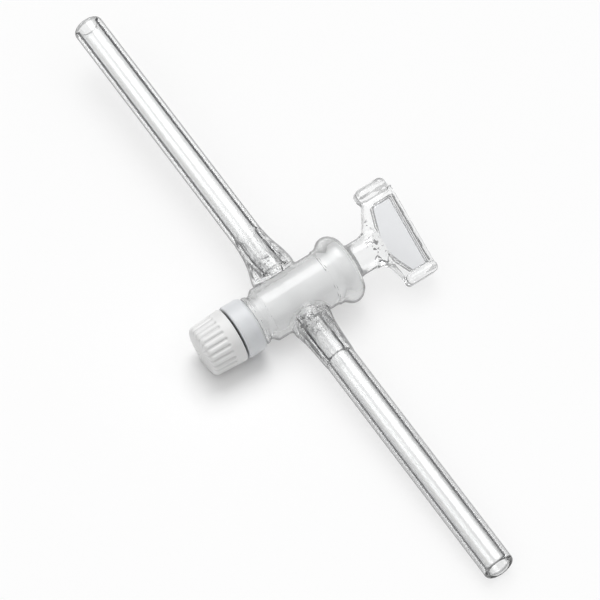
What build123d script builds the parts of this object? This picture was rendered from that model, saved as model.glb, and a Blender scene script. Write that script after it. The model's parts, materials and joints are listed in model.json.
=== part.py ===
from build123d import *
import math
import os

os.makedirs("parts", exist_ok=True)

# Laboratory stopcock: a glass barrel with two side arms, and a glass plug held by a screw cap.
# The plug turns about X and the arms lie along Y. Millimetres, +Z up.
# Everything is built about the point where the plug axis crosses the arm axis. The last section
# then moves the origin to the middle of the underside of the whole object.

# ---- side arms, stations measured along Y from the plug axis ----
ARM_OD = 9.0
ARM_BORE = 6.1
LONG_ARM = 111.6
SHORT_ARM = 104.0
LIP_RADIUS = 0.6            # fire-polished rounding of each arm's open end
BORE_STEP = 23.8            # where the arm's bore narrows to the root's bore
ROOT_BORE = 5.7
PASSAGE_BORE = 4.0          # way through the barrel wall and the plug
PASSAGE_RIM = 0.6           # how far the passage reaches into each root, beyond the barrel's surface
LONG_ROOT_FLARE = 2.3       # how far each flared root stands out all round its arm
SHORT_ROOT_FLARE = 1.5
ROOT_LENGTH = 24.5          # where the flare has come down to the arm's own size
ROOT_STRAIGHT = 1.8         # short straight part of the flare, just outside the barrel
ROOT_BLEND = 1.2            # fillet between flare and barrel

# ---- barrel, stations measured along X from the arm axis ----
BARREL_OD = 16.4
CAP_SIDE = 13.4             # arm axis to the end face that carries the washer
HANDLE_SIDE = 18.5          # arm axis to the mouth
CAP_RIM_DROP = 0.8          # rim and groove at the cap end, below the barrel's surface
CAP_RIM_LENGTH = 0.9
CAP_GROOVE_DROP = 1.4
CAP_NECK_LENGTH = 4.0
BEAD_RISE = 2.15            # bead and band at the handle end, above the barrel's surface
BEAD_RADIUS = 3.3
BAND_RISE = 0.35
BAND_LENGTH = 5.0           # start of the band to the middle of the bead
MOUTH_CHAMFER = 0.5

# ---- ground plug ----
PLUG_MID_RADIUS = 6.65      # at the arm axis
TAPER = 0.05                # radius gained for each millimetre towards the handle, 1 in 10 on diameter
GRIND_GAP = 0.04            # grease film between plug and barrel
PLUG_PROUD = 0.3            # how far the plug's end face stands out of the mouth
PLUG_EDGE_FILLET = 0.6
PLUG_SHORT = 0.5            # how far its small end stops inside the barrel
STEM_STEP = 1.8             # shoulder between the cone's small end and the stem
STEM_CHAMFER = 0.5
STEM_TIP_GAP = 0.6          # stem to the bottom of the screw cap's hole

# ---- handle of the plug ----
HANDLE_ANGLE = 25.0         # turn of the handle about X, from the arm axis
NECK_RADIUS = 4.95
NECK_FILLET = 1.3           # hollow between the plug's end face and the neck
NECK_LENGTH = 7.2           # up to the centre of the neck's domed end
GRIP_OVERLAP = 1.0          # the paddle's sides leave the neck this far before that centre
GRIP_SET_OUT = 3.7          # that centre to the near side of the end bars
GRIP_WIDTH = 9.7
GRIP_THICKNESS = 5.6
GRIP_BACK_HIGH = 0.7        # the back edge stands this much outside the upper end bar
GRIP_BACK_LOW = 0.3         # and lies this much inside the lower one
GRIP_HIGH = 16.4            # plug axis to the outer face of each end bar
GRIP_LOW = 14.4
END_BAR_HIGH_START = 11.9   # plug axis to the inner face of each end bar
END_BAR_LOW_START = 11.6
END_BAR_THICKNESS = 7.6
END_BAR_FILLET = 1.3
SIDE_SAG_HIGH = 0.6         # hollow of the sides between the neck and each end bar
SIDE_SAG_LOW = 1.5
RECESS_DEPTH = 1.4
RECESS_RIM = 1.8            # glass left between the recess and the back edge
RECESS_HIGH_RIM = 1.8       # glass left between the recess and each end bar
RECESS_LOW_RIM = 0.8
RECESS_NARROWING = 3.0
RECESS_CORNER = 0.5

# ---- washer, O-ring and screw cap ----
SEAT_GAP = 0.05             # washer to the barrel's end face
WASHER_OD = 16.3
WASHER_THICKNESS = 6.15
WASHER_CHAMFER = 0.9
WASHER_EDGE = 0.4
STEM_CLEARANCE = 0.08       # washer, O-ring and cap thread over the stem
RING_SECTION = 2.6
RING_SQUEEZE = 0.35         # how much the tight cap flattens the O-ring
RING_SIDE_CLEARANCE = 0.15
CAP_GAP = 0.6               # open slit between washer and cap
CAP_LENGTH = 10.2
CAP_MOUTH_OD = 16.3
CAP_TAPER_DROP = 0.6        # radius lost from the mouth to the closed face
CAP_FACE_WALL = 1.4
CAP_EDGE_FILLET = 1.2
CAP_MOUTH_EDGE = 0.3
CAP_BAND = 3.2              # smooth band beside the mouth
FLUTES = 24
FLUTE_RADIUS = 0.55
FLUTE_DEPTH = 0.35
THREAD_PITCH = 2.0
THREAD_LEFT = 1.05          # thread still engaged at the end of the cap's travel

# ---- stations and radii that follow from the sizes above ----
BEAD_X = HANDLE_SIDE - BEAD_RADIUS
BARREL_RADIUS = BARREL_OD / 2
SMALL_END_X = -CAP_SIDE + PLUG_SHORT
LARGE_END_X = HANDLE_SIDE + PLUG_PROUD
SMALL_END_RADIUS = PLUG_MID_RADIUS + TAPER * SMALL_END_X
STEM_RADIUS = SMALL_END_RADIUS - STEM_STEP
NECK_END = LARGE_END_X + NECK_LENGTH
GRIP_LEFT = NECK_END + GRIP_SET_OUT
GRIP_RIGHT = GRIP_LEFT + GRIP_WIDTH
WASHER_X = -CAP_SIDE - SEAT_GAP
RING_X = WASHER_X - WASHER_THICKNESS
RING_THICKNESS = RING_SECTION - RING_SQUEEZE
CAP_MOUTH_X = RING_X - CAP_GAP
CAP_SEAT_X = RING_X - RING_THICKNESS
CAP_FACE_X = CAP_MOUTH_X - CAP_LENGTH
STEM_END = CAP_FACE_X + CAP_FACE_WALL + STEM_TIP_GAP
STEM_HOLE = STEM_RADIUS + STEM_CLEARANCE
RING_OUTER = STEM_HOLE + RING_SECTION
CAP_TRAVEL = CAP_SEAT_X - STEM_END - THREAD_LEFT


def cone_radius(x):
    """Radius of the ground plug at a station along X."""
    return PLUG_MID_RADIUS + TAPER * x


def turned(*lines):
    """A solid of revolution about X from a closed outline in the XY plane."""
    return revolve(make_face(Curve() + list(lines)), Axis.X, 360)


def turned_points(points):
    """A solid of revolution about X from corner points (x, radius)."""
    return turned(Polyline(*points, close=True))


def barrel_blank():
    """Outside of the barrel: rim, groove, straight body, band and rounded bead."""
    body = BARREL_RADIUS
    rim = body - CAP_RIM_DROP
    groove = body - CAP_GROOVE_DROP
    band = body + BAND_RISE
    bead = body + BEAD_RISE
    rim_end = -CAP_SIDE + CAP_RIM_LENGTH
    rim_turn = CAP_RIM_LENGTH * (1 - math.sqrt(0.5))
    shoulder = -CAP_SIDE + CAP_NECK_LENGTH
    bead_centre = bead - BEAD_RADIUS
    foot_x = BEAD_X - math.sqrt(BEAD_RADIUS**2 - (band - bead_centre) ** 2)
    band_start = BEAD_X - BAND_LENGTH
    band_edge = band_start + BAND_RISE
    outline = [
        Line((-CAP_SIDE, 0), (-CAP_SIDE, rim - CAP_RIM_LENGTH)),
        ThreePointArc(
            (-CAP_SIDE, rim - CAP_RIM_LENGTH), (-CAP_SIDE + rim_turn, rim - rim_turn), (rim_end, rim)
        ),
        ThreePointArc((rim_end, rim), ((rim_end + shoulder) / 2, groove), (shoulder, body)),
        Line((shoulder, body), (band_start, body)),
        Line((band_start, body), (band_edge, band)),
        Line((band_edge, band), (foot_x, band)),
        ThreePointArc((foot_x, band), (BEAD_X, bead), (HANDLE_SIDE, bead_centre)),
        Line((HANDLE_SIDE, bead_centre), (HANDLE_SIDE, 0)),
        Line((HANDLE_SIDE, 0), (-CAP_SIDE, 0)),
    ]
    return turned(*outline)


def arm_blank(length, flare):
    """Outside of one arm along +X: flared root, straight tube and rounded end."""
    tube = ARM_OD / 2
    root = tube + flare
    lip_point = LIP_RADIUS * (1 - math.sqrt(0.5))
    flare_x = BARREL_RADIUS + ROOT_STRAIGHT
    run = ROOT_LENGTH - flare_x
    flare_radius = (run**2 + flare**2) / (2 * flare)
    half_turn = math.asin(run / flare_radius) / 2
    flare_middle = (
        ROOT_LENGTH - flare_radius * math.sin(half_turn),
        tube + flare_radius * (1 - math.cos(half_turn)),
    )
    outline = [
        Line((0, 0), (0, root)),
        Line((0, root), (flare_x, root)),
        ThreePointArc((flare_x, root), flare_middle, (ROOT_LENGTH, tube)),
        Line((ROOT_LENGTH, tube), (length - LIP_RADIUS, tube)),
        ThreePointArc(
            (length - LIP_RADIUS, tube),
            (length - lip_point, tube - lip_point),
            (length, tube - LIP_RADIUS),
        ),
        Line((length, tube - LIP_RADIUS), (length, 0)),
        Line((length, 0), (0, 0)),
    ]
    return turned(*outline)


def arm_bore(length):
    """The way through one arm along +X: passage, root bore, arm bore and rounded mouth."""
    bore = ARM_BORE / 2
    root = ROOT_BORE / 2
    passage = PASSAGE_BORE / 2
    passage_end = BARREL_RADIUS + PASSAGE_RIM
    lip_point = LIP_RADIUS * (1 - math.sqrt(0.5))
    lip_start = length - LIP_RADIUS
    outline = [
        Polyline(
            (length, bore + LIP_RADIUS),
            (length, 0),
            (0, 0),
            (0, passage),
            (passage_end, passage),
            (passage_end + root - passage, root),
            (BORE_STEP, root),
            (BORE_STEP + bore - root, bore),
            (lip_start, bore),
        ),
        ThreePointArc(
            (lip_start, bore), (length - lip_point, bore + lip_point), (length, bore + LIP_RADIUS)
        ),
    ]
    return turned(*outline)


def along_arm(solid, side):
    """Turn a solid made along +X so that it points along +Y (side 1) or -Y (side -1)."""
    return Rotation(0, 0, 90 * side) * solid


def make_barrel():
    """Barrel and both arms, blown and fused as one piece of glass."""
    glass = barrel_blank()
    glass += along_arm(arm_blank(LONG_ARM, LONG_ROOT_FLARE), 1)
    glass += along_arm(arm_blank(SHORT_ARM, SHORT_ROOT_FLARE), -1)
    roots = [
        edge
        for edge in glass.edges()
        if edge.geom_type not in (GeomType.CIRCLE, GeomType.LINE)
        and abs(edge.center().Y) < BARREL_OD
        and abs(edge.center().X) < ARM_OD
    ]
    glass = fillet(roots, ROOT_BLEND)
    chamfer_x = HANDLE_SIDE - MOUTH_CHAMFER
    chamfer_radius = cone_radius(chamfer_x) + GRIND_GAP
    glass -= turned_points(
        [
            (-CAP_SIDE, 0),
            (-CAP_SIDE, cone_radius(-CAP_SIDE) + GRIND_GAP),
            (chamfer_x, chamfer_radius),
            (HANDLE_SIDE, chamfer_radius + MOUTH_CHAMFER),
            (HANDLE_SIDE, 0),
        ]
    )
    glass -= along_arm(arm_bore(LONG_ARM), 1)
    glass -= along_arm(arm_bore(SHORT_ARM), -1)
    return glass


def end_bar(inner, outer):
    """Rounded bar across one end of the handle, between two distances from the plug axis."""
    width = GRIP_RIGHT - GRIP_LEFT
    middle = ((GRIP_LEFT + GRIP_RIGHT) / 2, (inner + outer) / 2, 0)
    bar = Pos(*middle) * Box(width, abs(outer - inner), END_BAR_THICKNESS)
    radius = min(END_BAR_FILLET, 0.45 * abs(outer - inner))
    return fillet(bar.edges(), radius)


def paddle_side(start_y, end_y, sag):
    """Hollow side of the paddle, from the neck to an end bar on the side of the sign of end_y."""
    start = (NECK_END - GRIP_OVERLAP, start_y)
    end = (GRIP_LEFT, end_y)
    slope = math.atan2(abs(end_y - start_y), end[0] - start[0])
    hollow_x = (start[0] + end[0]) / 2 + sag * math.sin(slope)
    hollow_y = (start_y + end_y) / 2 - math.copysign(sag * math.cos(slope), end_y)
    return ThreePointArc(start, (hollow_x, hollow_y), end)


def paddle_outline():
    """Flat shape of the handle between the neck and the two end bars."""
    side_start = NECK_END - GRIP_OVERLAP
    inside = GRIP_LEFT + END_BAR_FILLET
    high = END_BAR_HIGH_START + END_BAR_FILLET
    low = -END_BAR_LOW_START - END_BAR_FILLET
    back = [(GRIP_RIGHT + GRIP_BACK_HIGH, high), (GRIP_RIGHT - GRIP_BACK_LOW, low)]
    return make_face(
        Curve()
        + [
            Line((side_start, -NECK_RADIUS), (side_start, NECK_RADIUS)),
            paddle_side(NECK_RADIUS, END_BAR_HIGH_START, SIDE_SAG_HIGH),
            Polyline((GRIP_LEFT, END_BAR_HIGH_START), (inside, high), *back),
            Polyline(back[1], (inside, low), (GRIP_LEFT, -END_BAR_LOW_START)),
            paddle_side(-NECK_RADIUS, -END_BAR_LOW_START, SIDE_SAG_LOW),
        ]
    )


def recess_outline():
    """Shallow tapered field in each flat side of the handle."""
    right_high = GRIP_RIGHT + GRIP_BACK_HIGH - RECESS_RIM
    right_low = GRIP_RIGHT - GRIP_BACK_LOW - RECESS_RIM
    left = NECK_END + math.sqrt(NECK_RADIUS**2 - (GRIP_THICKNESS / 2) ** 2)
    high = END_BAR_HIGH_START - RECESS_HIGH_RIM
    low = -END_BAR_LOW_START + RECESS_LOW_RIM
    corners = [(right_low, low), (right_high, high), (left + RECESS_NARROWING, high), (left, 0)]
    corners.append((left + RECESS_NARROWING, low))
    field = make_face(Polyline(*corners, close=True))
    return fillet(field.vertices(), RECESS_CORNER)


def make_handle():
    """Neck, paddle and end bars, with the paddle in the XY plane."""
    neck_middle = LARGE_END_X + NECK_LENGTH / 2
    neck = Pos(neck_middle, 0, 0) * Rotation(0, 90, 0) * Cylinder(NECK_RADIUS, NECK_LENGTH)
    handle = neck + Pos(NECK_END, 0, 0) * Sphere(NECK_RADIUS)
    handle += extrude(paddle_outline(), GRIP_THICKNESS / 2, both=True)
    floor = GRIP_THICKNESS / 2 - RECESS_DEPTH
    for side in (1, -1):
        pocket = extrude(Pos(0, 0, side * floor) * recess_outline(), side * NECK_RADIUS)
        handle -= pocket
    handle += end_bar(END_BAR_HIGH_START, GRIP_HIGH)
    handle += end_bar(-END_BAR_LOW_START, -GRIP_LOW)
    return handle


def make_plug():
    """Ground cone, cross bore, threaded stem and handle, one piece of glass."""
    edge = PLUG_EDGE_FILLET
    edge_turn = edge * (1 - math.sqrt(0.5))
    neck_turn = NECK_FILLET * (1 - math.sqrt(0.5))
    fillet_end = (LARGE_END_X + NECK_FILLET, NECK_RADIUS)
    fillet_start = (LARGE_END_X, NECK_RADIUS + NECK_FILLET)
    edge_start = (LARGE_END_X - edge, cone_radius(LARGE_END_X - edge))
    edge_end = (LARGE_END_X, edge_start[1] - edge)
    plug = turned(
        Polyline(
            (LARGE_END_X + NECK_FILLET, 0),
            (STEM_END, 0),
            (STEM_END, STEM_RADIUS - STEM_CHAMFER),
            (STEM_END + STEM_CHAMFER, STEM_RADIUS),
            (SMALL_END_X, STEM_RADIUS),
            (SMALL_END_X, SMALL_END_RADIUS),
            edge_start,
        ),
        ThreePointArc(edge_start, (LARGE_END_X - edge_turn, edge_start[1] - edge_turn), edge_end),
        Line(edge_end, fillet_start),
        ThreePointArc(fillet_start, (LARGE_END_X + neck_turn, NECK_RADIUS + neck_turn), fillet_end),
        Line(fillet_end, (LARGE_END_X + NECK_FILLET, 0)),
    )
    plug += make_handle()
    plug -= Rotation(90, 0, 0) * Cylinder(PASSAGE_BORE / 2, 4 * PLUG_MID_RADIUS)
    return Rotation(HANDLE_ANGLE, 0, 0) * plug


def make_washer():
    """Thick washer between the barrel and the O-ring, bevelled towards the barrel."""
    outer = WASHER_OD / 2
    return turned_points(
        [
            (RING_X, STEM_HOLE),
            (RING_X, outer - WASHER_EDGE),
            (RING_X + WASHER_EDGE, outer),
            (WASHER_X - WASHER_CHAMFER, outer),
            (WASHER_X, outer - WASHER_CHAMFER),
            (WASHER_X, STEM_HOLE),
        ]
    )


def make_o_ring():
    """O-ring squeezed flat on the washer's side and on the cap's side."""
    centre_radius = STEM_HOLE + RING_SECTION / 2
    half = RING_THICKNESS / 2
    flat = math.sqrt((RING_SECTION / 2) ** 2 - half**2)
    centre_x = RING_X - half
    left = centre_x - half
    right = centre_x + half
    outline = [
        Line((left, centre_radius - flat), (left, centre_radius + flat)),
        ThreePointArc((left, centre_radius + flat), (centre_x, RING_OUTER), (right, centre_radius + flat)),
        Line((right, centre_radius + flat), (right, centre_radius - flat)),
        ThreePointArc((right, centre_radius - flat), (centre_x, STEM_HOLE), (left, centre_radius - flat)),
    ]
    return turned(*outline)


def make_cap():
    """Ribbed screw cap: tapered, closed at the far end, with a seat for the O-ring in its mouth."""
    mouth = CAP_MOUTH_OD / 2
    face = mouth - CAP_TAPER_DROP
    cap = turned_points(
        [
            (CAP_FACE_X, 0),
            (CAP_FACE_X, face),
            (CAP_MOUTH_X - CAP_MOUTH_EDGE, mouth),
            (CAP_MOUTH_X, mouth - CAP_MOUTH_EDGE),
            (CAP_MOUTH_X, 0),
        ]
    )
    face_edge = cap.edges().filter_by(GeomType.CIRCLE).sort_by(Axis.X)[0]
    cap = fillet(face_edge, CAP_EDGE_FILLET)
    seat_radius = RING_OUTER + RING_SIDE_CLEARANCE
    hole_end = CAP_FACE_X + CAP_FACE_WALL
    cap -= turned_points(
        [
            (hole_end, 0),
            (hole_end, STEM_HOLE),
            (CAP_SEAT_X, STEM_HOLE),
            (CAP_SEAT_X, seat_radius),
            (CAP_MOUTH_X, seat_radius),
            (CAP_MOUTH_X, 0),
        ]
    )
    slope = math.degrees(math.atan2(CAP_TAPER_DROP, CAP_LENGTH))
    flute_end = CAP_MOUTH_X - CAP_BAND
    end_radius = mouth - CAP_TAPER_DROP * CAP_BAND / CAP_LENGTH
    flute_length = 2 * (flute_end - CAP_FACE_X)
    flute = Pos(-flute_length / 2, 0, 0) * Rotation(0, 90, 0) * Cylinder(FLUTE_RADIUS, flute_length)
    flute += Sphere(FLUTE_RADIUS)
    raised = end_radius + FLUTE_RADIUS - FLUTE_DEPTH
    flute = Pos(flute_end - FLUTE_RADIUS, 0, raised) * Rotation(0, -slope, 0) * flute
    for number in range(FLUTES):
        cap -= Rotation(360 * number / FLUTES, 0, 0) * flute
    return cap


nodes = {
    "barrel": make_barrel(),
    "plug": make_plug(),
    "washer": make_washer(),
    "o_ring": make_o_ring(),
    "screw_cap": make_cap(),
}

# ---- origin at the middle of the underside, then one file for each piece ----
box = Compound(children=[Part(solid.wrapped) for solid in nodes.values()]).bounding_box()
shift = Vector(-box.center().X, -box.center().Y, -box.min.Z)
for name, solid in nodes.items():
    export_step(Pos(shift) * solid, f"parts/{name}.step")

print("plug axis crosses arm axis at", [round(value, 4) for value in shift])
print("overall size", [round(value, 3) for value in box.size])
print("cap travel", round(CAP_TRAVEL, 3), "mm, turns", round(CAP_TRAVEL / THREAD_PITCH, 3))
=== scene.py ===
"""Looks of the glass stopcock: clear and ground glass, washer, O-ring, ribbed cap, floor, light, camera.

Shapes are made as smooth fields in millimetres about the point where the plug axis crosses the arm
axis, and turned into meshes on a grid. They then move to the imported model's frame in metres.
"""

import json
import math
from types import SimpleNamespace

import bpy
import numpy as np
from mathutils import Matrix, Vector


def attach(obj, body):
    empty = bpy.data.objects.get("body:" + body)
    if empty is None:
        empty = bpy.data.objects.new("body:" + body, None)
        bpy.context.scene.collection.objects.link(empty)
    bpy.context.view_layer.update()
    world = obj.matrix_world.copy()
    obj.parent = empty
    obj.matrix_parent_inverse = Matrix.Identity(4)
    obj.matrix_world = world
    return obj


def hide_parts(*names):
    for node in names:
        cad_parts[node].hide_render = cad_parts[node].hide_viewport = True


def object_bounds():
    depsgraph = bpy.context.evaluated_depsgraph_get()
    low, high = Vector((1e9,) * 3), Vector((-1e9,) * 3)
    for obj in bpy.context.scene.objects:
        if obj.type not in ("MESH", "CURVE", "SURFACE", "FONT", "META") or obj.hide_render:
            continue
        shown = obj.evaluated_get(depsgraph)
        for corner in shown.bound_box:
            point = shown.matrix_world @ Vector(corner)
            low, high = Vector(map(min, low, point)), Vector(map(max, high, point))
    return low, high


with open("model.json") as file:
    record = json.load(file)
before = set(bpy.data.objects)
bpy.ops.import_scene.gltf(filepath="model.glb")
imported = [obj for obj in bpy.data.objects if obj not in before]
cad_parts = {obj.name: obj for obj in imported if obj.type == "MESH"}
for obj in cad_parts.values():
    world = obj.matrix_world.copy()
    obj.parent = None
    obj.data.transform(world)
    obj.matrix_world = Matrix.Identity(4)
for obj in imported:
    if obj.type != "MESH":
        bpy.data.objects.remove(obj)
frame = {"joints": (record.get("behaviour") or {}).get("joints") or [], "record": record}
cad_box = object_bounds()

joints = {joint["name"]: joint for joint in frame["joints"]}
mounts = {mount["name"]: mount for mount in frame["record"]["mounts"]}
CROSSING = Vector((mounts["long_arm_outside"]["pos_m"][0], *joints["plug_turn"]["pos_m"][1:]))
LONG_ARM = (cad_box[1][1] - CROSSING.y) * 1000 - 0.01
SHORT_ARM = (CROSSING.y - cad_box[0][1]) * 1000 - 0.01


# ------------------------------------------------------------------ smooth fields

def join(a, b, k):
    """Union of two fields, blended over the width k."""
    h = np.maximum(k - np.abs(a - b), 0) / k
    return np.minimum(a, b) - h * h * k / 4


def meet(a, b, k):
    """What two fields share, with its corner rounded over the width k."""
    return -join(-a, -b, k)


def carve(a, b, k):
    """Field a with field b cut out of it."""
    return -join(-a, b, k)


def along(x, points):
    """Smooth curve through (station, value) points, without overshoot."""
    xs, ys = np.array(points, float).T
    steps = np.diff(xs)
    rise = np.diff(ys) / steps
    slope = np.zeros_like(ys)
    for i in range(1, len(xs) - 1):
        if rise[i - 1] * rise[i] > 0:
            slope[i] = 2 * rise[i - 1] * rise[i] / (rise[i - 1] + rise[i])
    x = np.clip(x, xs[0], xs[-1])
    i = np.clip(np.searchsorted(xs, x) - 1, 0, len(steps) - 1)
    t = (x - xs[i]) / steps[i]
    a = (1 + 2 * t) * (1 - t) ** 2 * ys[i] + t * (1 - t) ** 2 * steps[i] * slope[i]
    b = t * t * (3 - 2 * t) * ys[i + 1] - t * t * (1 - t) * steps[i] * slope[i + 1]
    return a + b


def outline(x, y, points):
    """Signed distance to a closed polygon, negative inside."""
    corners = np.array(points, float)
    best = np.full(x.shape, np.inf)
    sign = np.ones(x.shape)
    for a, b in zip(corners, np.roll(corners, 1, axis=0)):
        edge = b - a
        wx, wy = x - a[0], y - a[1]
        t = np.clip((wx * edge[0] + wy * edge[1]) / (edge @ edge), 0, 1)
        best = np.minimum(best, (wx - t * edge[0]) ** 2 + (wy - t * edge[1]) ** 2)
        above, below = y >= a[1], y < b[1]
        left = edge[0] * wy > edge[1] * wx
        crossing = (above & below & left) | (~above & ~below & ~left)
        sign = np.where(crossing, -sign, sign)
    return sign * np.sqrt(best)


def rounded_box(x, y, z, half, radius):
    """Box about the origin with rounded edges."""
    q = [np.abs(v) - h + radius for v, h in zip((x, y, z), half)]
    outside = np.sqrt(sum(np.maximum(v, 0) ** 2 for v in q))
    return outside + np.minimum(np.maximum.reduce(q), 0) - radius


def stations(*runs):
    """Grid stations from (start, end, step) runs."""
    parts = [np.linspace(a, b, max(2, round(abs(b - a) / step) + 1))[:-1] for a, b, step in runs]
    return np.concatenate([*parts, [runs[-1][1]]])


def gradient(field, points):
    """Slope of the field at each point, by central differences."""
    step = 0.02
    out = np.empty_like(points)
    for axis in range(3):
        move = np.zeros(3)
        move[axis] = step
        out[:, axis] = (field(points + move) - field(points - move)) / (2 * step)
    return out


def surface(field, xs, ys, zs):
    """Points, faces and normals of the field's zero surface, by surface nets on a grid."""
    grids = np.meshgrid(xs, ys, zs, indexing="ij")
    points = np.stack(grids, -1)
    shape = points.shape[:3]
    flat = points.reshape(-1, 3)
    values = np.concatenate([field(chunk) for chunk in np.array_split(flat, 8)]).reshape(shape)
    inside = values < 0
    cells = tuple(n - 1 for n in shape)

    def corner(data, offset):
        i, j, k = offset
        return data[i:i + cells[0], j:j + cells[1], k:k + cells[2]]

    offsets = [(i, j, k) for i in (0, 1) for j in (0, 1) for k in (0, 1)]
    count = sum(corner(inside, o).astype(np.int8) for o in offsets)
    active = (count > 0) & (count < 8)
    number = np.full(cells, -1, np.int64)
    number[active] = np.arange(active.sum())
    total = np.zeros((active.sum(), 3))
    hits = np.zeros(active.sum())
    for a in offsets:
        for axis in range(3):
            if a[axis]:
                continue
            b = tuple(v + (n == axis) for n, v in enumerate(a))
            fa, fb = corner(values, a)[active], corner(values, b)[active]
            pa, pb = corner(points, a)[active], corner(points, b)[active]
            cut = (fa < 0) != (fb < 0)
            t = np.where(cut, fa / np.where(cut, fa - fb, 1), 0)[:, None]
            total += np.where(cut[:, None], pa + t * (pb - pa), 0)
            hits += cut
    verts = total / hits[:, None]
    faces = []
    for axis in range(3):
        u, v = (axis + 1) % 3, (axis + 2) % 3
        low = [slice(None)] * 3
        high = [slice(None)] * 3
        low[axis], high[axis] = slice(0, -1), slice(1, None)
        for side in (u, v):
            low[side] = high[side] = slice(1, -1)
        first, second = inside[tuple(low)], inside[tuple(high)]
        changed = np.argwhere(first != second)
        outward = first[first != second]
        base = changed.copy()
        base[:, u] += 1
        base[:, v] += 1
        quad = []
        for du, dv in ((-1, -1), (0, -1), (0, 0), (-1, 0)):
            cell = base.copy()
            cell[:, u] += du
            cell[:, v] += dv
            quad.append(number[tuple(cell.T)])
        quad = np.stack(quad, -1)
        quad[~outward] = quad[~outward][:, ::-1]
        faces.append(quad)
    faces = np.concatenate(faces)
    for _ in range(4):
        slope = gradient(field, verts)
        size = np.maximum((slope ** 2).sum(1), 0.05)
        move = (field(verts) / size)[:, None] * slope
        length = np.linalg.norm(move, axis=1, keepdims=True)
        verts = verts - move * np.minimum(1, 0.2 / np.maximum(length, 1e-9))
    normals = gradient(field, verts)
    normals /= np.maximum(np.linalg.norm(normals, axis=1, keepdims=True), 1e-9)
    return verts, faces, normals


def crease(field, points):
    """How sharply the surface bends at each point, from 0 on open faces to 1 on edges."""
    reach = 0.22
    total = -6 * field(points)
    for axis in range(3):
        move = np.zeros(3)
        move[axis] = reach
        total += field(points + move) + field(points - move)
    return np.clip((np.abs(total) / reach ** 2 - 0.7) / 1.6, 0, 1)


def piece(name, field, grid, body, node, material, turn=0.0):
    """Mesh object of a field, turned about X, that rides on a body in place of a CAD node."""
    verts, faces, normals = surface(field, *grid)
    bends = crease(field, verts)
    spin = np.array(Matrix.Rotation(turn, 3, "X"))
    verts, normals = verts @ spin.T, normals @ spin.T
    mesh = bpy.data.meshes.new(name)
    mesh.from_pydata((verts / 1000 + np.array(CROSSING)).tolist(), [], faces.tolist())
    mesh.update()
    mesh.polygons.foreach_set("use_smooth", [True] * len(mesh.polygons))
    mesh.normals_split_custom_set_from_vertices(normals.tolist())
    mesh.attributes.new("crease", "FLOAT", "POINT").data.foreach_set("value", bends)
    mesh.materials.append(material)
    obj = bpy.data.objects.new(name, mesh)
    bpy.context.scene.collection.objects.link(obj)
    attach(obj, body)
    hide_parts(node)
    print(name, "faces", len(faces))
    return obj


# ------------------------------------------------------------------ shapes

TAPER = 0.05                     # rise of the ground joint's radius along the plug
GLASS_EDGE = 0.9                 # rounding of the glass's edges

BARREL_MIDDLE, BARREL_HALF = 2.4, 15.8
BARREL_RADII = [(-13.6, 7.4), (-12.7, 7.4), (-11.3, 6.8), (-9.4, 8.2), (-7.0, 8.2), (10.0, 8.2),
                (10.7, 8.55), (18.5, 8.55)]
BEAD_X, BEAD_CENTRE, BEAD_RADIUS = 15.15, 7.05, 3.28
SOCKET_RADIUS = 6.69
MOUTH_X, MOUTH_RADIUS = 18.0, 7.59
LONG_ROOT = [(0, 6.8), (10.0, 6.8), (12.9, 6.3), (16.0, 5.6), (19.0, 5.0), (22.5, 4.65), (24.8, 4.5)]
SHORT_ROOT = [(0, 6.1), (10.0, 6.0), (12.0, 5.6), (14.3, 5.25), (19.0, 4.9), (23.5, 4.65), (24.8, 4.5)]
LONG_ROOT_LEAN = -0.7            # how far the long arm's root leans towards the cap
BORE_RADII = [(0, 2.0), (8.8, 2.0), (9.8, 2.85), (23.4, 2.85), (24.1, 3.05), (30, 3.05)]


def barrel_field(p):
    """Barrel with its bead, two arms with flared roots, ground socket and bores."""
    x, y, z = p.T
    r = np.hypot(y, z)
    glass = meet(r - along(x, BARREL_RADII), np.abs(x - BARREL_MIDDLE) - BARREL_HALF, GLASS_EDGE)
    glass = join(glass, np.hypot(x - BEAD_X, r - BEAD_CENTRE) - BEAD_RADIUS, 0.9)
    arms = ((1, LONG_ARM, LONG_ROOT, LONG_ROOT_LEAN), (-1, SHORT_ARM, SHORT_ROOT, 0.0))
    for side, length, root, lean in arms:
        s = side * y
        centre = lean * along(s, [(8, 1), (16, 0)])
        tube = meet(np.hypot(x - centre, z) - along(s, root), s - length, GLASS_EDGE)
        glass = join(glass, np.maximum(tube, -s), 1.2)
    joint = r - SOCKET_RADIUS - TAPER * x
    mouth = 0.7 * (r - MOUTH_RADIUS - (x - MOUTH_X))
    glass = carve(glass, join(joint, mouth, 0.2), 0.4)
    for side in (1, -1):
        s = side * y
        bore = np.maximum(np.hypot(x, z) - along(s, BORE_RADII), -s)
        glass = carve(glass, bore, along(s, [(9, 0.3), (12, 1.0), (60, 1.2)]))
    return glass


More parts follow.
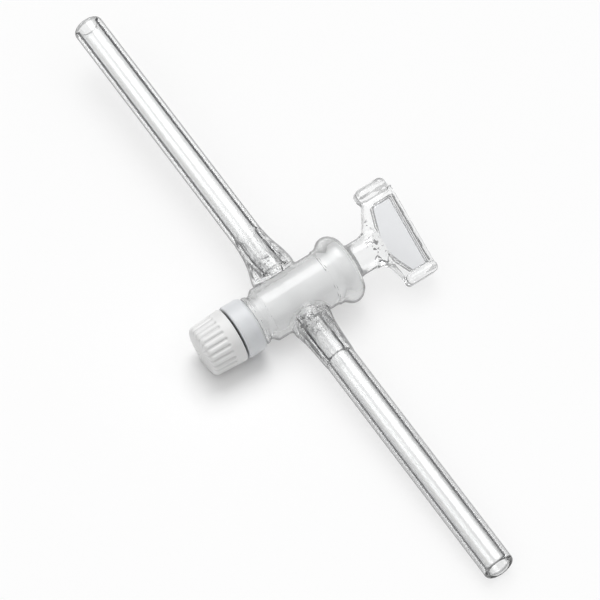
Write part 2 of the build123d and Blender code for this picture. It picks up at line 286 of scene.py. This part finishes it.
HANDLE_TURN = math.radians(25.0)
PLUG_MIDDLE, PLUG_HALF, PLUG_RADIUS = 2.95, 15.85, 6.65
PLUG_BORE_RADIUS = 2.0
NECK_START, NECK_END, NECK_RADIUS = 16, 26, 4.95
HIGH_SIDE = [(30.0, 11.6), (29.1, 10.1), (27.9, 7.9), (26.7, 6.2), (25.4, 4.7)]
LOW_SIDE = [(25.4, -5.0), (27.0, -5.5), (28.3, -7.2), (29.0, -9.7), (29.4, -12.0)]
PADDLE = [(40.05, 12.9), (31.0, 12.9), *HIGH_SIDE, *LOW_SIDE, (31.0, -12.7), (39.05, -12.7)]
PADDLE_HALF, RECESS_HALF = 2.5, 1.4
HIGH_BAR = ((34.5, 14.15), (4.8, 2.25, 3.8), 1.9)        # centre, half size and rounding
LOW_BAR = ((34.3, -13.0), (4.8, 1.4, 3.8), 1.35)
RECESS = [(38.2, 10.1), (32.5, 10.0), (29.7, 1.5), (29.6, -3.0), (30.5, -5.9), (32.8, -10.8),
          (37.3, -10.8)]
STEM_MIDDLE, STEM_HALF, STEM_RADIUS = -19.4, 9.0, 4.2
THREAD_DEPTH = 0.3
THREAD_ENDS = [(-28.4, 1), (-21.5, 1), (-20.3, 0)]


def plug_field(p):
    """Ground plug with its cross bore, neck, T-handle and threaded stem."""
    x, t, w = p.T
    r = np.hypot(t, w)
    plug = meet(r - PLUG_RADIUS - TAPER * x, np.abs(x - PLUG_MIDDLE) - PLUG_HALF, GLASS_EDGE)
    neck = np.hypot(np.clip(x, NECK_START, NECK_END) - x, r) - NECK_RADIUS
    plug = join(plug, neck, 2.2)
    handle = meet(outline(x, t, PADDLE) + 0.3, np.abs(w) - PADDLE_HALF, 1.0) - 0.3
    for (bar_x, bar_t), half, rounding in (HIGH_BAR, LOW_BAR):
        handle = join(handle, rounded_box(x - bar_x, t - bar_t, w, half, rounding), 0.8)
    plug = join(plug, handle, 1.8)
    recess = meet(outline(x, t, RECESS) - 0.3, RECESS_HALF - np.abs(w), 0.5)
    plug = carve(plug, recess, 0.45)
    plug = carve(plug, np.hypot(x, w) - PLUG_BORE_RADIUS, 0.2)
    groove = np.clip(1.7 * np.cos(np.pi * x - np.arctan2(w, t)), -1, 1)
    cut = along(x, THREAD_ENDS)
    side = r - STEM_RADIUS + THREAD_DEPTH * cut * (1 - groove)
    stem = meet(side, np.abs(x - STEM_MIDDLE) - STEM_HALF, 0.8)
    return join(plug, 0.8 * stem, 0.3)


WASHER_CENTRE, WASHER_HALF_WALL = 6.2175, 1.9325
WASHER_MIDDLE, WASHER_HALF = -16.525, 3.075
WASHER_FRONT, WASHER_RADIUS, WASHER_BEVEL = -13.45, 8.15, 0.9


def washer_field(p):
    """Thick ring, bevelled towards the barrel."""
    x, y, z = p.T
    r = np.hypot(y, z)
    ring = meet(np.abs(r - WASHER_CENTRE) - WASHER_HALF_WALL,
                np.abs(x - WASHER_MIDDLE) - WASHER_HALF, 0.5)
    bevel = x + r - (WASHER_FRONT + WASHER_RADIUS - WASHER_BEVEL)
    return meet(ring, bevel * math.sqrt(0.5), 0.6)


RING_MIDDLE, RING_CENTRE, RING_RADIUS, RING_HALF = -20.725, 5.585, 1.3, 1.125


def o_ring_field(p):
    """O-ring, pressed flat on both sides."""
    x, y, z = p.T
    r = np.hypot(y, z)
    return meet(np.hypot(x - RING_MIDDLE, r - RING_CENTRE) - RING_RADIUS,
                np.abs(x - RING_MIDDLE) - RING_HALF, 0.3)


FLUTES = 24
CAP_MOUTH, CAP_FACE, CAP_RADIUS = -20.2, -30.4, 8.15
CAP_DROP = 0.6 / 10.2            # fall of the cap's radius from mouth to face
FLUTE_END, FLUTE_RADIUS, FLUTE_OUT = -23.95, 0.55, 0.2
SEAT_RADIUS, SEAT_FLOOR = 7.035, -21.85
HOLE_RADIUS, HOLE_FLOOR = 4.285, -29.0


def cap_field(p):
    """Ribbed cap with a closed face, a seat for the O-ring and a hole for the stem."""
    x, y, z = p.T
    r = np.hypot(y, z)
    side = r - CAP_RADIUS - CAP_DROP * (x - CAP_MOUTH)
    cap = meet(side, CAP_FACE - x, 1.6)
    cap = meet(cap, x - CAP_MOUTH, 0.5)
    step = 2 * math.pi / FLUTES
    turn = np.mod(np.arctan2(z, y) + step / 2, step) - step / 2
    middle = CAP_RADIUS + CAP_DROP * (x - CAP_MOUTH) + FLUTE_OUT
    reach = np.maximum(x - FLUTE_END, 0)
    across = (r * np.cos(turn) - middle) ** 2 + (r * np.sin(turn)) ** 2
    cap = carve(cap, np.sqrt(across + reach ** 2) - FLUTE_RADIUS, 0.3)
    seat = np.maximum(r - SEAT_RADIUS, SEAT_FLOOR - x)
    hole = np.maximum(r - HOLE_RADIUS, HOLE_FLOOR - x)
    return carve(cap, join(seat, hole, 0.2), 0.3)


# ------------------------------------------------------------------ materials

def new_material(name):
    """New material with its node tree and its shader."""
    material = bpy.data.materials.new(name)
    material.use_nodes = True
    tree = material.node_tree
    shader = tree.nodes["Principled BSDF"]
    return material, tree, shader


def node(tree, kind, inputs=None, **settings):
    """New node. Each input is a number or another node's output."""
    made = tree.nodes.new(kind)
    for key, value in settings.items():
        setattr(made, key, value)
    for key, value in (inputs or {}).items():
        if isinstance(value, bpy.types.NodeSocket):
            tree.links.new(value, made.inputs[key])
        else:
            made.inputs[key].default_value = value
    return made


def arithmetic(tree, operation, *values):
    return node(tree, "ShaderNodeMath", dict(enumerate(values)), operation=operation).outputs[0]


def ramp(tree, value, low, high, start, end):
    """Value mapped smoothly from low..high to start..end."""
    made = node(tree, "ShaderNodeMapRange", {"Value": value, "From Min": low, "From Max": high,
                                             "To Min": start, "To Max": end},
                interpolation_type="SMOOTHSTEP")
    return made.outputs["Result"]


def place_nodes(tree):
    """Object position, and its parts about the crossing in metres."""
    position = node(tree, "ShaderNodeTexCoord").outputs["Object"]
    moved = node(tree, "ShaderNodeVectorMath", {0: position, 1: CROSSING}, operation="SUBTRACT")
    parts = node(tree, "ShaderNodeSeparateXYZ", {0: moved.outputs[0]})
    return moved.outputs[0], parts.outputs


def absolute(tree, value):
    return arithmetic(tree, "ABSOLUTE", value)


def fade(tree, value, low, high):
    """1 up to low, falling smoothly to 0 at high."""
    return ramp(tree, value, low, high, 1, 0)


def rise(tree, value, low, high):
    """0 up to low, rising smoothly to 1 at high."""
    return ramp(tree, value, low, high, 0, 1)


def product(tree, *values):
    total = values[0]
    for value in values[1:]:
        total = arithmetic(tree, "MULTIPLY", total, value)
    return total


def highest(tree, *values):
    top = values[0]
    for value in values[1:]:
        top = arithmetic(tree, "MAXIMUM", top, value)
    return top


def noise(tree, place, scale, detail, distortion=0.0):
    made = node(tree, "ShaderNodeTexNoise", {"Vector": place, "Scale": scale, "Detail": detail,
                                             "Distortion": distortion})
    return made.outputs[0]


def mixed_colour(tree, share, first, second):
    colours = [(*value, 1) if isinstance(value, tuple) else value for value in (first, second)]
    made = node(tree, "ShaderNodeMix", {0: share, 6: colours[0], 7: colours[1]}, data_type="RGBA")
    return made.outputs[2]


def stretched(tree, place, factors):
    """Place scaled along each axis, so that a noise read there is drawn out."""
    made = node(tree, "ShaderNodeVectorMath", {0: place, 1: factors}, operation="MULTIPLY")
    return made.outputs[0]


def set_bump(tree, shader, height, strength, distance):
    bump = node(tree, "ShaderNodeBump", {"Height": height, "Strength": strength, "Distance": distance})
    tree.links.new(bump.outputs[0], shader.inputs["Normal"])


def length_of(tree, a, b):
    squares = arithmetic(tree, "ADD", product(tree, a, a), product(tree, b, b))
    return arithmetic(tree, "SQRT", squares)


GLASS_IOR = 1.474
# clear glass, and the colour of its painted dark lines and painted shade, which stand in for refraction
CLEAR_TINT, PAINTED_DARK_TINT = (0.985, 0.99, 0.99), (0.03, 0.03, 0.035)
# grey painted as shade over the handle's recess
RECESS_PAINTED_SHADE = (0.835, 0.845, 0.86)
JOINT_RADIUS = 0.00667           # metres, between plug and socket
GROUND_CLEAR = 0.56              # transmission left in ground glass
VEIL_CLEAR, VEIL_GROUND = 0.93, 0.88


def glass_nodes(tree):
    """Values that the painted dark lines and shade of the glass share. Lengths in these nodes are
    metres.
    """
    place, (x, y, z) = place_nodes(tree)
    cos, sin = math.cos(HANDLE_TURN), math.sin(HANDLE_TURN)
    inner = node(tree, "ShaderNodeNewGeometry").outputs["Backfacing"]
    height = arithmetic(tree, "SUBTRACT", product(tree, z, cos), product(tree, y, sin))
    side = arithmetic(tree, "ADD", product(tree, y, cos), product(tree, z, sin))
    return SimpleNamespace(
        place=place, x=x, y=y, z=z, inner=inner,
        facing=node(tree, "ShaderNodeLayerWeight", {"Blend": 0.5}).outputs["Facing"],
        outer=arithmetic(tree, "SUBTRACT", 1.0, inner),
        across=absolute(tree, x), along_arm=absolute(tree, y), off_axis=length_of(tree, x, z),
        handle_height=absolute(tree, height), handle_side=absolute(tree, side),
        on_handle=rise(tree, x, 0.0235, 0.025), blotch=noise(tree, place, 900, 2))


def ground_zone(tree, g):
    """Where plug and barrel are ground together."""
    coned = arithmetic(tree, "SUBTRACT", length_of(tree, g.y, g.z), product(tree, g.x, TAPER))
    near = absolute(tree, arithmetic(tree, "SUBTRACT", coned, JOINT_RADIUS))
    off_middle = absolute(tree, arithmetic(tree, "SUBTRACT", g.x, 0.0005))
    return product(tree, fade(tree, near, 0.00008, 0.0002), fade(tree, g.x, 0.0168, 0.0178),
                   ramp(tree, off_middle, 0.0098, 0.0104, 1, 0.7))


def painted_outlines(tree, g, ground):
    """Painted dark outlines of the glass, and a painted dark line at the upper edge of the ground zone,
    standing in for refraction.
    """
    upper_edge = product(tree, ground, g.inner, ramp(tree, g.facing, 0.6, 0.72, 0, 0.75),
                         rise(tree, g.y, 0.002, 0.004))
    rim = product(tree, g.outer, ramp(tree, g.facing, 0.5, 0.82, 0, 0.9), fade(tree, g.on_handle, 0, 1))
    flat_rim = product(tree, g.outer, g.on_handle, ramp(tree, g.facing, 0.82, 0.96, 0, 0.8))
    return [rim, flat_rim, upper_edge]


def painted_arm_refractions(tree, g):
    """Painted dark lines and painted shade, standing in for refraction, on the walls, bores and open
    ends of the arms.
    """
    past = arithmetic(tree, "MAXIMUM", arithmetic(tree, "SUBTRACT", g.y, LONG_ARM / 1000),
                      arithmetic(tree, "SUBTRACT", -SHORT_ARM / 1000, g.y))
    tip = rise(tree, past, -0.0012, -0.0006)
    # painted shade on the walls of the lower arm
    low_wall = product(tree, g.outer, fade(tree, g.y, -0.027, -0.024),
                       ramp(tree, g.facing, 0.3, 0.6, 0, 0.48), fade(tree, tip, 0, 1))
    bore = product(tree, g.inner, fade(tree, g.off_axis, 0.0033, 0.0036),
                   rise(tree, g.along_arm, 0.0088, 0.0095))
    bore_edge = fade(tree, g.facing, 0.31, 0.36)
    # painted dark line at the bore's edge, and painted shade just inside it
    line = product(tree, bore, ramp(tree, g.facing, 0.21, 0.25, 0, 0.92), bore_edge)
    shade = product(tree, bore, ramp(tree, g.facing, 0.07, 0.21, 0, 0.26), bore_edge)
    # painted dark streaks along the bores, standing in for refraction
    drawn = noise(tree, stretched(tree, g.place, (1, 0.02, 1)), 620, 1)
    painted_bore_streak = product(tree, bore, ramp(tree, drawn, 0.46, 0.62, 0, 0.13))
    # painted dark ring round the bore at the open ends, and painted dark blotches on the ends' sides
    opening = product(tree, tip, ramp(tree, g.off_axis, 0.0029, 0.0031, 0, 0.6),
                      fade(tree, g.off_axis, 0.0032, 0.0034))
    sides = product(tree, tip, rise(tree, g.across, 0.0028, 0.0037),
                    ramp(tree, g.blotch, 0.47, 0.55, 0, 0.75))
    return [low_wall, line, shade, painted_bore_streak, opening, sides]


def painted_root_and_neck_refractions(tree, g):
    """Painted small dark refractions in the hand-worked glass of the roots and the neck."""
    root = product(tree, rise(tree, g.along_arm, 0.0085, 0.0105),
                   fade(tree, g.along_arm, 0.0235, 0.0255), fade(tree, g.across, 0.0088, 0.0098))
    drawn = noise(tree, stretched(tree, g.place, (1, 0.16, 1)), 950, 2)
    drawn_streak = product(tree, rise(tree, drawn, 0.53, 0.6),
                           ramp(tree, g.facing, 0.1, 0.55, 0.18, 0.85))
    # painted dark flecks of refraction at the roots' feet and at the neck
    painted_fleck = rise(tree, noise(tree, g.place, 520, 1, 1.4), 0.57, 0.6)
    foot = product(tree, painted_fleck, ramp(tree, g.along_arm, 0.011, 0.0145, 0.8, 0))
    root_edge = product(tree, g.outer, ramp(tree, g.facing, 0.36, 0.7, 0, 0.8),
                        ramp(tree, g.blotch, 0.4, 0.58, 0.15, 1))
    neck = product(tree, rise(tree, g.x, 0.0238, 0.0252), fade(tree, g.x, 0.0275, 0.0295), painted_fleck,
                   g.outer, 0.78)
    # painted dark band at the collar
    collar = product(tree, rise(tree, g.x, 0.0188, 0.0194), fade(tree, g.x, 0.0205, 0.0225),
                     ramp(tree, g.facing, 0.2, 0.5, 0, 0.65))
    return [product(tree, root, highest(tree, drawn_streak, foot, root_edge)), neck, collar]


def painted_handle_refractions(tree, g):
    """Painted dark lines where the surface folds, and painted dark edges and streaks on the handle's two
    end bars.
    """
    bend = node(tree, "ShaderNodeAttribute", attribute_name="crease").outputs["Fac"]
    patch = highest(tree, g.on_handle, rise(tree, noise(tree, g.place, 420, 2), 0.38, 0.6))
    # painted dark lines where the surface bends sharply
    painted_fold_line = product(tree, ramp(tree, bend, 0.55, 1, 0, 0.72), patch)
    bar = product(tree, rise(tree, g.x, 0.0285, 0.0295), rise(tree, g.handle_side, 0.0116, 0.0121))
    uneven = ramp(tree, noise(tree, g.place, 330, 1), 0.4, 0.6, 0.3, 1)
    bar_edge = product(tree, bar, g.outer, ramp(tree, g.facing, 0.36, 0.6, 0, 0.75), uneven)
    # painted dark streaks along the end bars
    lengthwise = noise(tree, stretched(tree, g.place, (0.22, 1, 1)), 620, 1)
    painted_bar_streak = product(tree, bar, ramp(tree, lengthwise, 0.6, 0.62, 0, 0.4))
    return [painted_fold_line, bar_edge, painted_bar_streak]


def recess_wall(tree, g):
    """Side walls of the handle's recess, which the material leaves see-through."""
    return product(tree, rise(tree, g.handle_height, 0.00165, 0.0019),
                   fade(tree, g.handle_height, 0.0023, 0.0026), rise(tree, g.x, 0.0284, 0.029),
                   fade(tree, g.x, 0.0387, 0.039), fade(tree, g.handle_side, 0.0106, 0.011))


def glass_material():
    """Clear glass, frosted where plug and barrel are ground together, with painted dark refraction lines
    at its edges.
    """
    material, tree, shader = new_material("stopcock_glass")
    shader.inputs["IOR"].default_value = GLASS_IOR
    g = glass_nodes(tree)
    ground = ground_zone(tree, g)
    # all the painted dark lines and painted shade of the glass, which darken its colour and lower its
    # transmission
    dark = highest(tree, *painted_outlines(tree, g, ground), *painted_arm_refractions(tree, g),
                   *painted_root_and_neck_refractions(tree, g), *painted_handle_refractions(tree, g))

    # painted grey shade over the handle's recess
    recess = product(tree, fade(tree, g.handle_height, 0.0015, 0.0018),
                     rise(tree, g.x, 0.0288, 0.0296), fade(tree, g.x, 0.0378, 0.0386))
    clear_tint_and_recess_shade = mixed_colour(tree, recess, CLEAR_TINT, RECESS_PAINTED_SHADE)
    tree.links.new(mixed_colour(tree, dark, clear_tint_and_recess_shade, PAINTED_DARK_TINT), shader.inputs["Base Color"])
    clear = product(tree, arithmetic(tree, "SUBTRACT", 1.0, dark),
                    ramp(tree, ground, 0, 1, 1, GROUND_CLEAR))
    tree.links.new(clear, shader.inputs["Transmission Weight"])
    grain = noise(tree, g.place, 2500, 2)
    rough = product(tree, ground, ramp(tree, grain, 0.3, 0.7, 0.42, 0.58))
    tree.links.new(rough, shader.inputs["Roughness"])
    worked = product(tree, noise(tree, g.place, 260, 1), fade(tree, g.along_arm, 0.019, 0.026),
                     ramp(tree, g.on_handle, 0, 1, 1, 0.25))
    set_bump(tree, shader, worked, 0.3, 0.0004)

    # shadow and diffuse rays pass as through a thin veil, and so does every ray at the recess's walls
    rays = node(tree, "ShaderNodeLightPath").outputs
    passing = highest(tree, rays["Is Shadow Ray"], rays["Is Diffuse Ray"], recess_wall(tree, g))
    share = ramp(tree, ground, 0, 1, VEIL_CLEAR, VEIL_GROUND)
    passed = node(tree, "ShaderNodeCombineColor", {0: share, 1: share, 2: share}).outputs[0]
    veil = node(tree, "ShaderNodeBsdfTransparent", {"Color": passed})
    both = node(tree, "ShaderNodeMixShader", {0: passing, 1: shader.outputs[0], 2: veil.outputs[0]})
    tree.links.new(both.outputs[0], tree.nodes["Material Output"].inputs["Surface"])
    return material


def mottled(name, cloud_scale, cloud_detail, rough, fine_scale, strength, distance):
    """Material whose roughness follows a cloud and whose surface has a fine bump."""
    material, tree, shader = new_material(name)
    place, parts = place_nodes(tree)
    cloud = noise(tree, place, cloud_scale, cloud_detail)
    tree.links.new(ramp(tree, cloud, 0.3, 0.7, *rough), shader.inputs["Roughness"])
    set_bump(tree, shader, noise(tree, place, fine_scale, 2), strength, distance)
    return material, tree, shader, parts, cloud


def scatter(shader, weight, radius):
    """Light scattered inside the plastic, over the radius in metres."""
    shader.inputs["Subsurface Weight"].default_value = weight
    shader.inputs["Subsurface Radius"].default_value = (radius, radius, radius)
    shader.inputs["Subsurface Scale"].default_value = 1.0


def washer_material():
    material, tree, shader, _, cloud = mottled("washer_plastic", 350, 4, (0.3, 0.42), 2600, 0.2, 0.00004)
    tint = mixed_colour(tree, cloud, (0.715, 0.73, 0.75), (0.79, 0.805, 0.82))
    tree.links.new(tint, shader.inputs["Base Color"])
    scatter(shader, 0.3, 0.002)
    return material


def rubber_material():
    material, tree, shader, _, cloud = mottled("black_rubber", 900, 3, (0.45, 0.62), 4000, 0.3, 0.00003)
    tint = mixed_colour(tree, cloud, (0.012, 0.012, 0.013), (0.03, 0.03, 0.031))
    tree.links.new(tint, shader.inputs["Base Color"])
    return material


def cap_material():
    """White plastic, with painted shade in the valleys between the ribs."""
    material, tree, shader, (x, y, z), cloud = mottled("white_plastic", 260, 3, (0.36, 0.46), 3000,
                                                       0.25, 0.00004)
    plain = mixed_colour(tree, cloud, (0.83, 0.83, 0.825), (0.87, 0.87, 0.865))
    turn = arithmetic(tree, "ARCTAN2", z, y)
    wave = arithmetic(tree, "COSINE", product(tree, turn, float(FLUTES)))
    # painted shade in the valleys between the ribs, where the flutes run
    painted_valley_shade = product(tree, rise(tree, wave, 0.1, 0.95), fade(tree, x, -0.0238, -0.0233))
    tint = mixed_colour(tree, product(tree, painted_valley_shade, 0.42), plain, (0.55, 0.55, 0.55))
    tree.links.new(tint, shader.inputs["Base Color"])
    scatter(shader, 0.15, 0.001)
    return material


def floor_material():
    material, tree, shader = new_material("pale_floor")
    position = node(tree, "ShaderNodeTexCoord").outputs["Object"]
    tint = mixed_colour(tree, noise(tree, position, 6, 2), (0.972, 0.972, 0.972), (0.98, 0.98, 0.98))
    tree.links.new(tint, shader.inputs["Base Color"])
    shader.inputs["Roughness"].default_value = 0.9
    shader.inputs["Specular IOR Level"].default_value = 0.1
    return material


# ------------------------------------------------------------------ pieces

glass = glass_material()
barrel_grid = (
    stations((-14.3, -5.1, 0.45), (-5.1, 5.1, 0.3), (5.1, 19.4, 0.4)),
    stations((-SHORT_ARM - 0.9, 2 - SHORT_ARM, 0.2), (2 - SHORT_ARM, -27.0, 5.0), (-27.0, 27.0, 0.4),
             (27.0, LONG_ARM - 2, 5.0), (LONG_ARM - 2, LONG_ARM + 0.9, 0.2)),
    stations((-11.1, -5.1, 0.45), (-5.1, 5.1, 0.3), (5.1, 11.1, 0.45)),
)
piece("glass_barrel", barrel_field, barrel_grid, "barrel", "barrel", glass)
plug_grid = (
    stations((-29.2, -19.0, 0.25), (-19.0, 18.0, 0.45), (18.0, 40.2, 0.24)),
    stations((-15.6, 17.2, 0.26)),
    stations((-8.4, -4.1, 0.33), (-4.1, 4.1, 0.2), (4.1, 8.4, 0.33)),
)
piece("glass_plug", plug_field, plug_grid, "plug", "plug", glass, HANDLE_TURN)
washer_grid = (stations((-20.2, -12.9, 0.3)), stations((-8.8, 8.8, 0.3)), stations((-8.8, 8.8, 0.3)))
piece("washer_ring", washer_field, washer_grid, "plug", "washer", washer_material())
ring_grid = (stations((-22.3, -19.2, 0.2)), stations((-7.5, 7.5, 0.25)), stations((-7.5, 7.5, 0.25)))
piece("rubber_ring", o_ring_field, ring_grid, "seal", "o_ring", rubber_material())
cap_grid = (stations((-31.0, -19.6, 0.22)), stations((-8.8, 8.8, 0.22)), stations((-8.8, 8.8, 0.22)))
piece("ribbed_cap", cap_field, cap_grid, "cap", "screw_cap", cap_material())


# ------------------------------------------------------------------ floor, light, camera

FLOOR_RINGS, FLOOR_SPOKES, FLOOR_REACH = 12, 96, 1.6
FLOOR_SLOPE = (-0.0591, -0.0476)             # rise along X and along Y
FLOOR_TOUCH = (15.2, -10.35)                 # where the bead rests, in X and Z, in millimetres
DARK_BELOW, LIGHT_ABOVE = 0.3, 0.75          # heights of a ray's direction
DARK_LEVEL, LIGHT_LEVEL = 0.02, 0.905
LAMP_ENERGY, LAMP_ANGLE, LAMP_FROM = 1.25, 38, (0.30, 0.42, 0.86)
LENS, SENSOR = 312.85, 36
CAMERA_OFFSET = (-0.2795, -0.6888, 1.2469)
CAMERA_RIGHT, CAMERA_BACK = (0.8389, -0.5339, -0.1055), (-0.1933, -0.4735, 0.8593)


def floor():
    """Pale floor through the three places where the tilted object rests."""
    rings, spokes = FLOOR_RINGS, FLOOR_SPOKES
    verts, faces = [(0, 0, 0)], []
    turns = [2 * math.pi * n / spokes for n in range(spokes)]
    for ring in range(1, rings + 1):
        radius = FLOOR_REACH * (ring / rings) ** 2
        verts += [(radius * math.cos(turn), radius * math.sin(turn), 0) for turn in turns]
    for n in range(spokes):
        faces.append((0, 1 + n, 1 + (n + 1) % spokes))
    for ring in range(rings - 1):
        start = 1 + ring * spokes
        for n in range(spokes):
            m = (n + 1) % spokes
            faces.append((start + n, start + spokes + n, start + spokes + m, start + m))
    slope_x, slope_y = FLOOR_SLOPE
    height = FLOOR_TOUCH[1] - slope_x * FLOOR_TOUCH[0]
    verts = [(CROSSING.x + x, CROSSING.y + y, CROSSING.z + height / 1000 + slope_x * x + slope_y * y)
             for x, y, _ in verts]
    mesh = bpy.data.meshes.new("floor")
    mesh.from_pydata(verts, [], faces)
    mesh.update()
    mesh.materials.append(floor_material())
    obj = bpy.data.objects.new("floor", mesh)
    bpy.context.scene.collection.objects.link(obj)


def studio():
    """Pale sky with a dark band near the horizon, which draws the glass's edges, and one soft lamp.

    Only camera rays see the sky plain white.
    """
    world = bpy.data.worlds.new("studio")
    bpy.context.scene.world = world
    world.use_nodes = True
    tree = world.node_tree
    background = tree.nodes["Background"]
    direction = node(tree, "ShaderNodeTexCoord").outputs["Generated"]
    parts = node(tree, "ShaderNodeSeparateXYZ", {0: direction})
    level = ramp(tree, parts.outputs[2], DARK_BELOW, LIGHT_ABOVE, DARK_LEVEL, LIGHT_LEVEL)
    sight = node(tree, "ShaderNodeLightPath").outputs["Is Camera Ray"]
    mixed = node(tree, "ShaderNodeMix", {0: sight, 2: level, 3: 1.0})
    tree.links.new(mixed.outputs[0], background.inputs["Color"])
    background.inputs["Strength"].default_value = 1.0
    lamp = bpy.data.lights.new("soft_lamp", "SUN")
    lamp.energy = LAMP_ENERGY
    lamp.angle = math.radians(LAMP_ANGLE)
    obj = bpy.data.objects.new("soft_lamp", lamp)
    bpy.context.scene.collection.objects.link(obj)
    obj.rotation_mode = "QUATERNION"
    obj.rotation_quaternion = Vector(LAMP_FROM).to_track_quat("Z", "Y")


def camera():
    """Long lens that looks down at the whole object."""
    data = bpy.data.cameras.new("camera")
    data.lens = LENS
    data.sensor_width = SENSOR
    data.clip_end = 20
    obj = bpy.data.objects.new("camera", data)
    bpy.context.scene.collection.objects.link(obj)
    right = Vector(CAMERA_RIGHT)
    back = Vector(CAMERA_BACK).normalized()
    up = back.cross(right).normalized()
    right = up.cross(back).normalized()
    turn = Matrix((right, up, back)).transposed().to_4x4()
    obj.matrix_world = Matrix.Translation(CROSSING + Vector(CAMERA_OFFSET)) @ turn
    bpy.context.scene.camera = obj


floor()
studio()
camera()
bpy.context.scene.view_settings.view_transform = "Standard"
